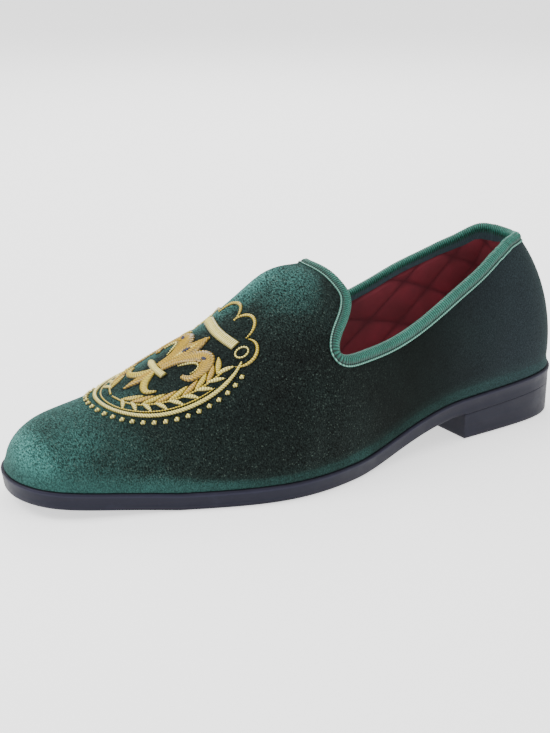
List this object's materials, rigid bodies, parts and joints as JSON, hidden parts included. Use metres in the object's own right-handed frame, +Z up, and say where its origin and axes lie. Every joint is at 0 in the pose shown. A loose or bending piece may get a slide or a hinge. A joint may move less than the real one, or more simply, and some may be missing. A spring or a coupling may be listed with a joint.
{
  "type": "velvet slipper loafer",
  "caption": "Velvet slipper loafer for the left foot, with a rounded vamp tab, ribbon-bound topline, thin sole and low heel.",
  "frame": {"origin": "on the floor under the middle of the shoe's bounding box", "axes": "-Y towards the toe, +X towards the outer side of a left foot, +Z up"},
  "size_m": [0.1046, 0.295, 0.0943],
  "materials": {
    "outsole": "satin dark charcoal",
    "heel": "satin dark charcoal",
    "upper": "cotton velvet, near-black green with a teal sheen",
    "topline_binding": "ribbed grosgrain ribbon, teal green",
    "insole": "crimson satin over a thin pad"
  },
  "bodies": {
    "root": {"outsole": "outsole", "heel": "heel", "upper": "upper", "topline_binding": "topline_binding", "insole": "insole"}
  },
  "joints": []
}
